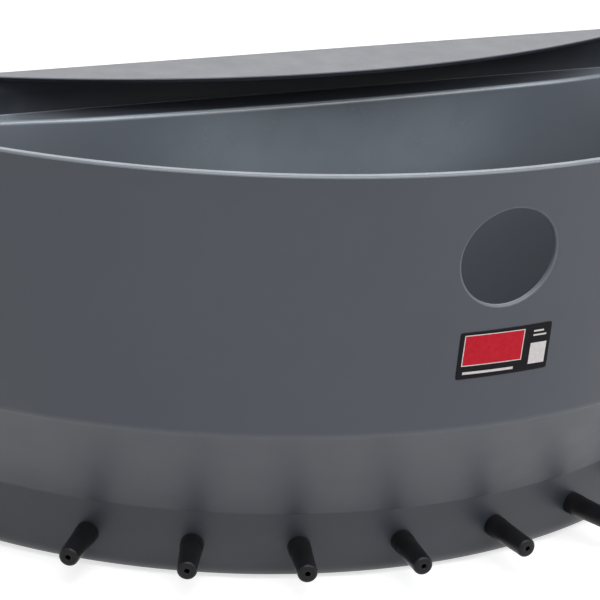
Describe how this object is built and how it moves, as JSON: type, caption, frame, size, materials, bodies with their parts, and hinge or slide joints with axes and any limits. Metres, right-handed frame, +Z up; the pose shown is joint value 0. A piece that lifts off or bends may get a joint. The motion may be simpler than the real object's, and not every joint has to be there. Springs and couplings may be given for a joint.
{
  "type": "multi teat lamb feeder",
  "caption": "Bow-fronted moulded milk tub with rubber teats round its lower edge, a hand hole, a rear deck and two adjustable hooks for a pen rail.",
  "frame": {"origin": "on top of the rail, midway between the hooks, at the level of their pads", "axes": "+X along the rail, -Y to the teats, +Z up"},
  "size_m": [0.884, 0.4696, 0.404],
  "materials": {
    "moulding": "semi-gloss moulded grey polyethylene",
    "label": "printed vinyl with plain colour blocks",
    "teat_rubber": "matt black rubber",
    "pad_rubber": "matt black rubber",
    "steel": "galvanised flat bar",
    "fastener": "plated"
  },
  "bodies": {
    "tub": {"tub": "moulding", "label": "label", "teat_1": "teat_rubber", "teat_2": "teat_rubber", "teat_3": "teat_rubber", "teat_4": "teat_rubber", "teat_5": "teat_rubber", "teat_6": "teat_rubber", "teat_7": "teat_rubber", "teat_8": "teat_rubber", "hook_bolts_left": "fastener", "hook_bolts_right": "fastener", "hook_seals_left": "pad_rubber", "hook_seals_right": "pad_rubber", "hook_washers_left": "fastener", "hook_washers_right": "fastener", "hook_nuts_left": "fastener", "hook_nuts_right": "fastener"},
    "hook_left": {"hook_left": "steel", "hook_pad_left": "pad_rubber"},
    "hook_right": {"hook_right": "steel", "hook_pad_right": "pad_rubber"}
  },
  "joints": [
    {"name": "hook_left_slide", "type": "slide", "parent": "tub", "child": "hook_left", "axis": [0, 0, -1], "range_m": [0, 0.045]},
    {"name": "hook_right_slide", "type": "slide", "parent": "tub", "child": "hook_right", "axis": [0, 0, -1], "range_m": [0, 0.045]}
  ]
}
